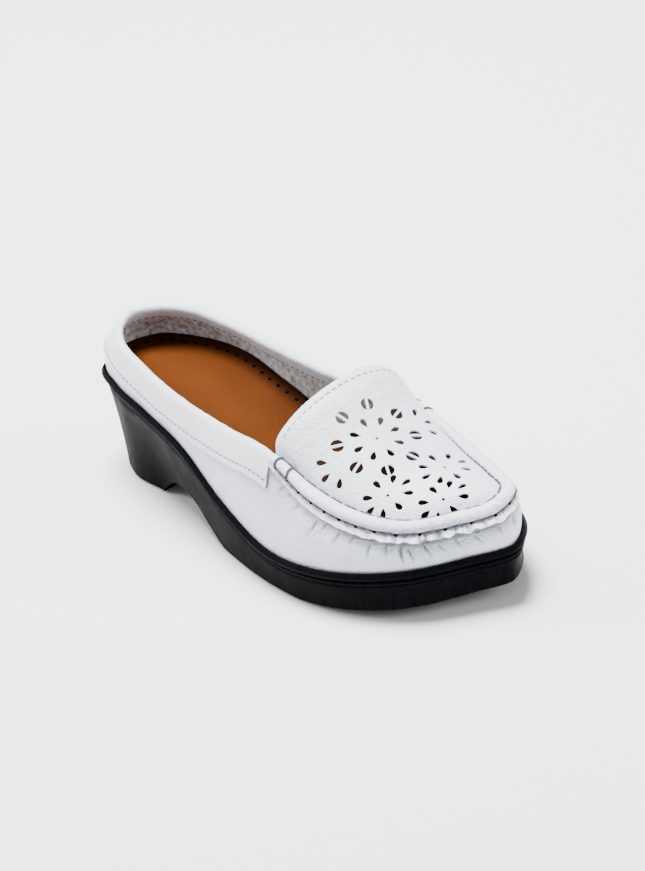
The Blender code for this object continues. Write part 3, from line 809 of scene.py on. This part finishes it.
def seam_rings():
    """Flange, roll and the roll's inner foot, with their gathers and pleats, and painted shade for each
    ring.
    """
    size = EDGE[SEAM, 4:5]
    out = OUT[SEAM]
    front = np.exp(-(((SEAM_RUN - TOE_AT) / TOE_SPREAD) ** 2))[:, None]
    flange_levels = np.linspace(1.0, 0.08, 14)
    gather = folds(SEAM_RUN, GATHER_PITCH, 1.7)
    longer = np.zeros(COUNT)
    longer[SEAM] = front[:, 0] * 0.16 * waves(SEAM_RUN, 0.0071, 0.7)
    rings = []
    shades = []
    for share in flange_levels:
        point, normal, _ = wall_frame(FLANGE * share * (1 + longer * share) * EDGE[:, 4])
        frill = 0.00014 + FRILL * front[:, 0] * share**1.5
        crumple = frill * waves(SEAM_RUN + 0.0012 * share, FRILL_PITCH, 1.3)
        crumple += GATHER * front[:, 0] * (gather - 0.7) * (0.25 + 0.75 * share)
        crumple += CRIMP * front[:, 0] * share * waves(SEAM_RUN, CRIMP_PITCH, 4.0)
        curl = (CURL + CURL_FRONT * front[:, 0]) * share**2
        lift = GAP + APRON_LEATHER + np.maximum(crumple + curl, 0)
        rings.append(point[SEAM] + normal[SEAM] * lift[:, None])
        # painted shade in the gathers' valleys at the toe and towards the flange's foot
        shades.append(front[:, 0] * 0.75 * (1 - gather) + 0.12 * (1 - share))
    point, normal, _ = wall_frame(FLANGE * flange_levels[-1] * EDGE[:, 4])
    foot = (point + normal * (GAP + APRON_LEATHER))[SEAM]
    inner = foot.copy()
    inner[:, :2] -= out * ROLL_WIDTH * size
    inner[:, 2:3] += ROLL_STEP * size
    chord = inner - foot
    lift = unit(np.column_stack([out * ROLL_STEP, np.full(len(SEAM), ROLL_WIDTH)]))
    profile = smooth_line([(0, 0.04), *ROLL, (1, 0)], 5)[1:-1]
    for across, height in profile:
        low = math.exp(-(((across - 0.10) / 0.28) ** 2))
        slant = SEAM_RUN + 0.004 * across
        pleat = (0.03 + 0.16 * front[:, 0] * low) * waves(slant, PLEAT_PITCH, 0.5)
        belly = 0.035 * waves(SEAM_RUN, BELLY_PITCH, 2.2)
        rise = ((height + (pleat + belly) * min(height * 1.5, 1)) * ROLL_HEIGHT)[:, None]
        rings.append(foot + chord * across + lift * rise * size)
        # painted shade in the pleats' valleys, along the roll's outer foot and near its inner foot
        valley = np.clip(-waves(slant, PLEAT_PITCH, 0.5), 0, 1) * front[:, 0] * low * 0.30
        shades.append(valley + 0.30 * math.exp(-((across / 0.07) ** 2)) + 0.16 * (across > 0.9))
    rings.append(inner)
    shades.append(np.full(len(SEAM), 0.30))
    return rings, shades


PANEL_FOLDS = 0.00030  # depth of the soft creases at the throat


def panel_rows(foot):
    across = np.linspace(-1, 1, PANEL_COLUMNS + 1)[:, None]
    rows = []
    for k in range(len(SEAM) // 2 + 1):
        outer, inner = foot[k], foot[-1 - k]
        crest, power, skew = EDGE[SEAM[k], 5:8]
        row = outer + (inner - outer) * (across + 1) / 2
        profile = np.clip(1 - across[:, 0] ** 2, 0, None) ** power
        row[:, 2] += crest * profile * (1 + skew * across[:, 0])
        behind = SEAM_RUN[k]
        fold = PANEL_FOLDS * math.exp(-behind / FOLD_FADE)
        row[:, 2] += fold * waves(behind + 0.006 * across[:, 0] ** 2, FOLD_PITCH, 0.9)
        rim = np.exp(-((1 - np.abs(across[:, 0])) * np.linalg.norm(inner - outer) / 2 / RIM_REACH))
        row[:, 2] -= RIM_SINK * rim * profile
        rows.append(row)
    return rows


def petal_outline(points=20):
    turns = [math.tau * k / points for k in range(points)]
    widths = [math.sin(turn) * math.sin(turn / 2) for turn in turns]
    scale = PETAL_WIDTH / 2 / max(widths)
    return [(-math.cos(turn) * PETAL_LENGTH / 2, width * scale) for turn, width in zip(turns, widths)]


def half_disc_outline(side, points=16):
    radius = SPLIT_CIRCLE / 2
    start = math.asin(SPLIT_BAR / SPLIT_CIRCLE)
    turns = np.linspace(start, math.pi - start, points)
    return [(math.cos(turn) * radius, side * math.sin(turn) * radius) for turn in turns]


def eye_outline(points=14):
    turns = [math.tau * k / points for k in range(points)]
    return [(math.cos(turn) * EYE / 2, math.sin(turn) * EYE / 2) for turn in turns]


def pattern():
    holes = []
    for k in range(8):
        turn = EIGHTH * (k + 0.5)
        place = (RING * math.cos(turn), RING * math.sin(turn))
        holes += [(half_disc_outline(side), place, turn) for side in (-1, 1)]
    for flower in FLOWERS:
        centre = (flower.ahead * RING, flower.aside * RING)
        for eighth in flower.petals:
            turn = EIGHTH * eighth
            ahead = centre[0] + PETAL_RADIUS * math.cos(turn) * flower.length
            aside = centre[1] + PETAL_RADIUS * math.sin(turn)
            holes.append((petal_outline(), (ahead, aside), turn))
        if flower.eye:
            holes.append((eye_outline(), centre, 0.0))
    return holes


def walk_on(surface, place):
    above = Vector((PATTERN_AT * LENGTH, 0, LENGTH))
    point, normal, _, _ = surface.ray_cast(above, Vector((0, 0, -1)))
    forward = Vector((1, -APRON_TURN, 0))
    forward = (forward - normal * forward.dot(normal)).normalized()
    turn = math.atan2(place[1], place[0])
    heading = forward * math.cos(turn) + normal.cross(forward) * math.sin(turn)
    for _ in range(WALK_STRIDES):
        ahead = point + heading * math.hypot(*place) / WALK_STRIDES
        point, normal, _, _ = surface.find_nearest(ahead)
        heading = (heading - normal * heading.dot(normal)).normalized()
    return point, normal, heading * math.cos(turn) - normal.cross(heading) * math.sin(turn)


def make_apron():
    rings, shades = seam_rings()
    rows = panel_rows(rings[-1])
    strip_faces = loft_faces(len(rings), len(SEAM), False)
    start = len(rings) * len(SEAM)
    width = PANEL_COLUMNS + 1
    panel_faces = []
    for r in range(len(rows) - 1):
        for c in range(PANEL_COLUMNS):
            low = r * width + c
            panel_faces.append((low, low + width, low + width + 1, low + 1))
    surface = BVHTree.FromPolygons([Vector(point) for row in rows for point in row], panel_faces)
    faces = strip_faces + [tuple(start + i for i in face) for face in panel_faces]
    apron_materials = [APRON_WHITE, RAW_EDGE, APRON_UNDERSIDE_SHADE]
    apron = piece("apron_leather", np.vstack(rings + rows), faces, apron_materials)
    behind = SEAM_RUN[: len(rows)][:, None]
    across = np.abs(np.linspace(-1, 1, width))[None, :]
    wide = np.array([np.linalg.norm(row[-1] - row[0]) / 2 for row in rows])[:, None]
    # painted shade along the panel's rim beside the roll and in the folds' valleys behind the throat
    panel_shade = 0.30 * np.exp(-((1 - across) * wide / 0.0011) ** 2)
    valleys = np.clip(-waves(behind, FOLD_PITCH, 0.9), 0, 1)
    panel_shade = panel_shade + 0.10 * np.exp(-behind / 0.012) * valleys
    add_values(apron, "shade", np.r_[np.ravel(shades), np.ravel(panel_shade)])
    body = bmesh.new()
    body.from_mesh(apron.data)
    bmesh.ops.remove_doubles(body, verts=body.verts, dist=WELD)
    body.to_mesh(apron.data)
    body.free()
    # the apron's underside takes the painted-shade material
    add_thickness(apron, APRON_SHEET, False, 2, 1)
    body = bmesh.new()
    for outline, place, turn in pattern():
        point, normal, forward = walk_on(surface, place)
        aside = normal.cross(forward)
        first = forward * math.cos(turn) + aside * math.sin(turn)
        second = aside * math.cos(turn) - forward * math.sin(turn)
        low, high = [
            [
                body.verts.new(point + normal * height + first * u + second * v + Vector(SHIFT))
                for u, v in outline
            ]
            for height in (-PUNCH, APRON_LEATHER)
        ]
        body.faces.new(low)
        body.faces.new(high)
        for i in range(len(outline)):
            j = (i + 1) % len(outline)
            body.faces.new((low[i], low[j], high[j], high[i]))
    cutter = cutter_object("piercing", body)
    cut(apron, cutter, True)
    bake(apron, [cutter], LEATHER_SHARP)
    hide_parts("apron")
    return rings, rows


# Insole

def make_insole():
    inset = LIP + LEATHER + 2 * GAP
    heel_to_ball = np.clip(1 - RIM[:, 0] / LENGTH / CUP_END, 0, 1)
    cup = CUP * np.sqrt(heel_to_ball)
    under = at_rim(-inset, SEAT - GAP)
    over = under.copy()
    over[:, 2] += INSOLE + cup
    rings = [under, over]
    # painted shade: the insole is dimmed towards its rim, under the upper
    middle = [0.26, 0.26]
    for share in np.linspace(0, 1, 10)[1:]:
        ring = over.copy()
        ring[:, :2] -= OUT * CUP_SLOPE * share
        ring[:, 2] -= cup * (math.sin(share * math.pi / 2) ** 1.2)
        rings.append(ring)
        middle.append(0.26 + share * 0.29)
    base = rings[-1]
    spine = (base + base[(-np.arange(COUNT)) % COUNT]) / 2
    for share in np.linspace(0, 1, 10)[1:-1]:
        ring = base + (spine - base) * share
        rings.append(ring)
        middle.append(0.55 + 0.30 * share)
    faces = loft_faces(len(rings), COUNT, True)
    faces += cap_faces(0, COUNT, False)
    faces += cap_faces((len(rings) - 1) * COUNT, COUNT, True)
    insole = piece("insole_leather", np.vstack(rings), faces, [TAN], ROUND_SHARP)
    # painted shade: towards the toe, inside the shoe, the values fall to zero and the insole goes dark
    inside = np.clip((0.57 - RIM[:, 0] / LENGTH) / 0.16, 0, 1)
    shades = np.array(middle)[:, None] * inside
    add_values(insole, "middle", shades)
    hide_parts("insole")
    return over, cup


# Stitching

class Threads:
    """Collects short tubes and discs into one mesh."""

    def __init__(self):
        self.points = []
        self.faces = []

    def tube(self, line, radius, sides=8):
        line = np.asarray(line, float)
        along = unit(np.gradient(line, axis=0))
        first = unit(np.cross(along, np.array([0.31, 0.17, 0.93])))
        second = np.cross(along, first)
        start = len(self.points)
        for k, point in enumerate(line):
            taper = 0.55 if k in (0, len(line) - 1) else 1.0
            for turn in np.arange(sides) * math.tau / sides:
                offset = first[k] * math.cos(turn) + second[k] * math.sin(turn)
                self.points.append(point + offset * radius * taper)
        count = len(line)
        self.faces += [tuple(start + i for i in face) for face in loft_faces(count, sides, True)]
        self.faces.append(tuple(start + i for i in range(sides))[::-1])
        self.faces.append(tuple(start + (count - 1) * sides + i for i in range(sides)))

    def stitch(self, begin, end, up, radius, rise, parts=8):
        """A thread that comes up at one point and goes down at the other."""
        t = np.linspace(0, 1, parts)[:, None]
        height = np.minimum(1, np.sin(np.pi * t) * 2.2) * (radius * 0.6 + rise) - radius * 0.8
        self.tube(begin + (end - begin) * t + up * height, radius)

    def disc(self, centre, up, radius, sides=12):
        """A small low disc set in a needle hole or punched dot; built dark, it is painted shadow in the
        hole.
        """
        first = unit(np.cross(up, np.array([0.31, 0.93, 0.17])))
        second = np.cross(up, first)
        start = len(self.points)
        for share, height in ((1.0, -0.0003), (1.0, 0.00003), (0.6, 0.00005)):
            for turn in np.arange(sides) * math.tau / sides:
                offset = first * math.cos(turn) + second * math.sin(turn)
                self.points.append(centre + offset * radius * share + up * height)
        self.faces += [tuple(start + i for i in face) for face in loft_faces(3, sides, True)]
        self.faces.append(tuple(start + i for i in range(sides))[::-1])
        self.faces.append(tuple(start + 2 * sides + i for i in range(sides)))

    def build(self, name, material):
        return piece(name, self.points, self.faces, [material], ROUND_SHARP)


def at_run(line, run, values=None):
    """Point on a line, or the values that go with it, at a distance from its start."""
    travelled = run_of(line)
    table = line if values is None else values
    return np.array([np.interp(run, travelled, table[:, k]) for k in range(table.shape[1])])


def dash_row(threads, line, normal, pitch, length, radius, ends=0.001):
    total = run_of(line)[-1]
    count = int((total - 2 * ends) / pitch)
    for k in range(count):
        begin = ends + k * pitch
        up = unit(at_run(line, begin, normal))
        threads.stitch(at_run(line, begin), at_run(line, begin + length), up, radius, radius * 0.4)




def seam_holes():
    runs = [SEAM_FIRST]
    while True:
        share = runs[-1] / SEAM_LENGTH
        pitch = np.interp(share, (0.0, 0.16, 0.44, 0.62, 1.0), (
            SEAM_PITCHES[0], SEAM_PITCHES[0], SEAM_PITCHES[1], SEAM_PITCHES[2], SEAM_PITCHES[2]))
        if runs[-1] + pitch > SEAM_LENGTH - SEAM_FIRST:
            return runs
        runs.append(runs[-1] + float(pitch))


def seam_row(threads, holes, foot, normal, places):
    """Needle holes, as dark discs of painted shadow, along a line and a doubled, twisted thread between
    each two.
    """
    for hole in places:
        holes.disc(at_run(foot, hole) + unit(at_run(foot, hole, normal)) * 0.0002,
                   unit(at_run(foot, hole, normal)), HOLE)
    for begin, end in zip(places, places[1:]):
        steps = np.linspace(begin + HOLE * 0.5, end - HOLE * 0.5, 14)
        line = np.array([at_run(foot, step) for step in steps])
        ups = np.array([unit(at_run(foot, step, normal)) for step in steps])
        sides = unit(np.cross(np.gradient(line, axis=0), ups))
        t = np.linspace(0, 1, len(steps))[:, None]
        rise = np.minimum(1, np.sin(np.pi * t) * 2.5) * 0.0007 - 0.0001
        for side in (-1, 1):
            twist = side * 0.00030 * np.cos(t * math.tau * (end - begin) / SEAM_TWIST)
            other = side * 0.00012 * np.sin(t * math.tau * (end - begin) / SEAM_TWIST)
            threads.tube(line + ups * (rise + other) + sides * twist, THREAD)


def make_stitches(seam, rows):
    dashes = Threads()
    threads = Threads()
    holes = Threads()
    point, normal, _ = wall_frame(BAND_OUTSIDE - STITCH_INSET)
    line = shortened((point + normal * (GAP + BINDING))[COLLAR], ROW_ENDS)
    dash_row(dashes, line, normal[COLLAR], STITCH_PITCH, STITCH, FINE_THREAD)
    point, normal, _ = wall_frame(BAND_INSIDE - INNER_INSET)
    line = shortened((point - normal * (LEATHER + GAP + BINDING))[COLLAR], ROW_ENDS)
    dash_row(dashes, line, -normal[COLLAR], STITCH_PITCH, STITCH, FINE_THREAD)
    rows_in = 4
    throat = rows[rows_in][rows_in:-rows_in]
    upward = np.tile([0.0, 0.0, 1.0], (len(throat), 1))
    dash_row(dashes, throat, upward, STITCH_PITCH, STITCH, FINE_THREAD)

    roll_foot = 12
    foot = seam[roll_foot]
    run = run_of(foot)
    scale = run[-1] / SEAM_LENGTH
    _, normal, _ = wall_frame(0.0005)
    normal = normal[SEAM]
    places = [hole * scale for hole in seam_holes()]
    seam_row(threads, holes, foot, normal, places)
    inner_foot = seam[-1]
    inner_scale = run_of(inner_foot)[-1] / run[-1]
    upright = unit(np.tile([0.0, 0.0, 1.0], (len(SEAM), 1)) - 0.4 * np.c_[OUT[SEAM], np.zeros(len(SEAM))])
    seam_row(threads, holes, inner_foot, upright, [hole * inner_scale for hole in places])
    for where in (SEAM_FIRST, SEAM_FIRST + SEAM_PITCHES[0]):
        for at in (where, SEAM_LENGTH - where):
            at *= scale
            arc = np.array([at_run(ring, at * run_of(ring)[-1] / run[-1]) for ring in seam[roll_foot:]])
            centre = arc.mean(axis=0)
            out = unit(arc - centre)
            for side in (-1, 1):
                slide = unit(foot[1] - foot[0]) * side * 0.0003
                threads.tube(arc + out * 0.0003 + slide, THREAD)
    dashes.build("edge_stitches", DASH)
    threads.build("seam_stitches", LILAC)
    holes.build("seam_holes", DARK)


def make_insole_dots(over, cup):
    dots = Threads()
    share = 0.55
    ring = over.copy()
    ring[:, :2] -= OUT * CUP_SLOPE * share
    ring[:, 2] -= cup * (math.sin(share * math.pi / 2) ** 1.2)
    run = run_of(ring)
    for k in range(int(run[-1] / DOT_PITCH)):
        place = at_run(ring, k * DOT_PITCH)
        if place[0] < DOT_END * LENGTH:
            dots.disc(place + np.array([0, 0, DOT_LIFT]), np.array([0.0, 0.0, 1.0]), DOT)
    dots.build("insole_punched_dots", DARK)


# Camera, floor and light

AZIMUTH = math.radians(56.57)
ELEVATION = math.radians(28.4)
ROLL_TURN = math.radians(-10.43)
DISTANCE = 2.291
FOCAL_PIXELS = 5193.0
PICTURE = (645, 871)
SENSOR = 36.0
AIM = np.array([0.127, 0.0, 0.040])
AIM_PIXEL = (296.84, 441.84)
Lamp = namedtuple("Lamp", "name place size power")
LAMPS = (
    Lamp("key", (-0.35, 0.15, 2.0), 1.1, 165),
    Lamp("left", (-1.6, -0.9, 0.9), 0.8, 22),
    Lamp("right", (1.5, 0.9, 0.8), 0.9, 14),
)
WORLD_COLOUR = (0.93, 0.965, 1, 1)
WORLD_STRENGTH = 0.50


def make_camera():
    a, e, r = AZIMUTH, ELEVATION, ROLL_TURN
    back = np.array([math.sin(a) * math.cos(e), -math.cos(a) * math.cos(e), math.sin(e)])
    right = np.array([math.cos(a), math.sin(a), 0.0])
    up = np.cross(back, right)
    across = math.cos(r) * right + math.sin(r) * up
    upright = -math.sin(r) * right + math.cos(r) * up
    per_pixel = DISTANCE / FOCAL_PIXELS
    place = AIM + SHIFT + back * DISTANCE
    place = place - across * (AIM_PIXEL[0] - PICTURE[0] / 2) * per_pixel
    place = place + upright * (AIM_PIXEL[1] - PICTURE[1] / 2) * per_pixel
    data = bpy.data.cameras.new("photo_camera")
    data.sensor_width = SENSOR
    data.lens = FOCAL_PIXELS * SENSOR / max(PICTURE)
    data.clip_end = 20
    camera = bpy.data.objects.new("photo_camera", data)
    turn = Matrix([across, upright, back]).transposed().to_4x4()
    camera.matrix_world = Matrix.Translation(Vector(place)) @ turn
    bpy.context.scene.collection.objects.link(camera)
    bpy.context.scene.camera = camera


def make_floor():
    mesh = bpy.data.meshes.new("floor")
    half = 3.0
    corners = [(-half, -half, 0), (half, -half, 0), (half, half, 0), (-half, half, 0)]
    mesh.from_pydata(corners, [], [(0, 1, 2, 3)])
    floor = bpy.data.objects.new("floor", mesh)
    bpy.context.scene.collection.objects.link(floor)
    mesh.materials.append(Nodes("floor_pale", (0.93, 0.93, 0.93), 0.9).material)


def area_light(name, place, size, power):
    data = bpy.data.lights.new(name, "AREA")
    data.shape = "DISK"
    data.size = size
    data.energy = power
    light = bpy.data.objects.new(name, data)
    place = Vector(place)
    light.location = place
    light.rotation_euler = (-place).to_track_quat("-Z", "Y").to_euler()
    bpy.context.scene.collection.objects.link(light)


def make_light():
    world = bpy.data.worlds.new("studio")
    bpy.context.scene.world = world
    world.use_nodes = True
    background = world.node_tree.nodes["Background"]
    background.inputs["Color"].default_value = WORLD_COLOUR
    background.inputs["Strength"].default_value = WORLD_STRENGTH
    for lamp in LAMPS:
        area_light(*lamp)


make_camera()
make_floor()
make_light()
make_sole()
make_upper()
make_collar_band()
SEAM_LINES, PANEL_LINES = make_apron()
OVER, CUP_RISE = make_insole()
make_stitches(SEAM_LINES, PANEL_LINES)
make_insole_dots(OVER, CUP_RISE)
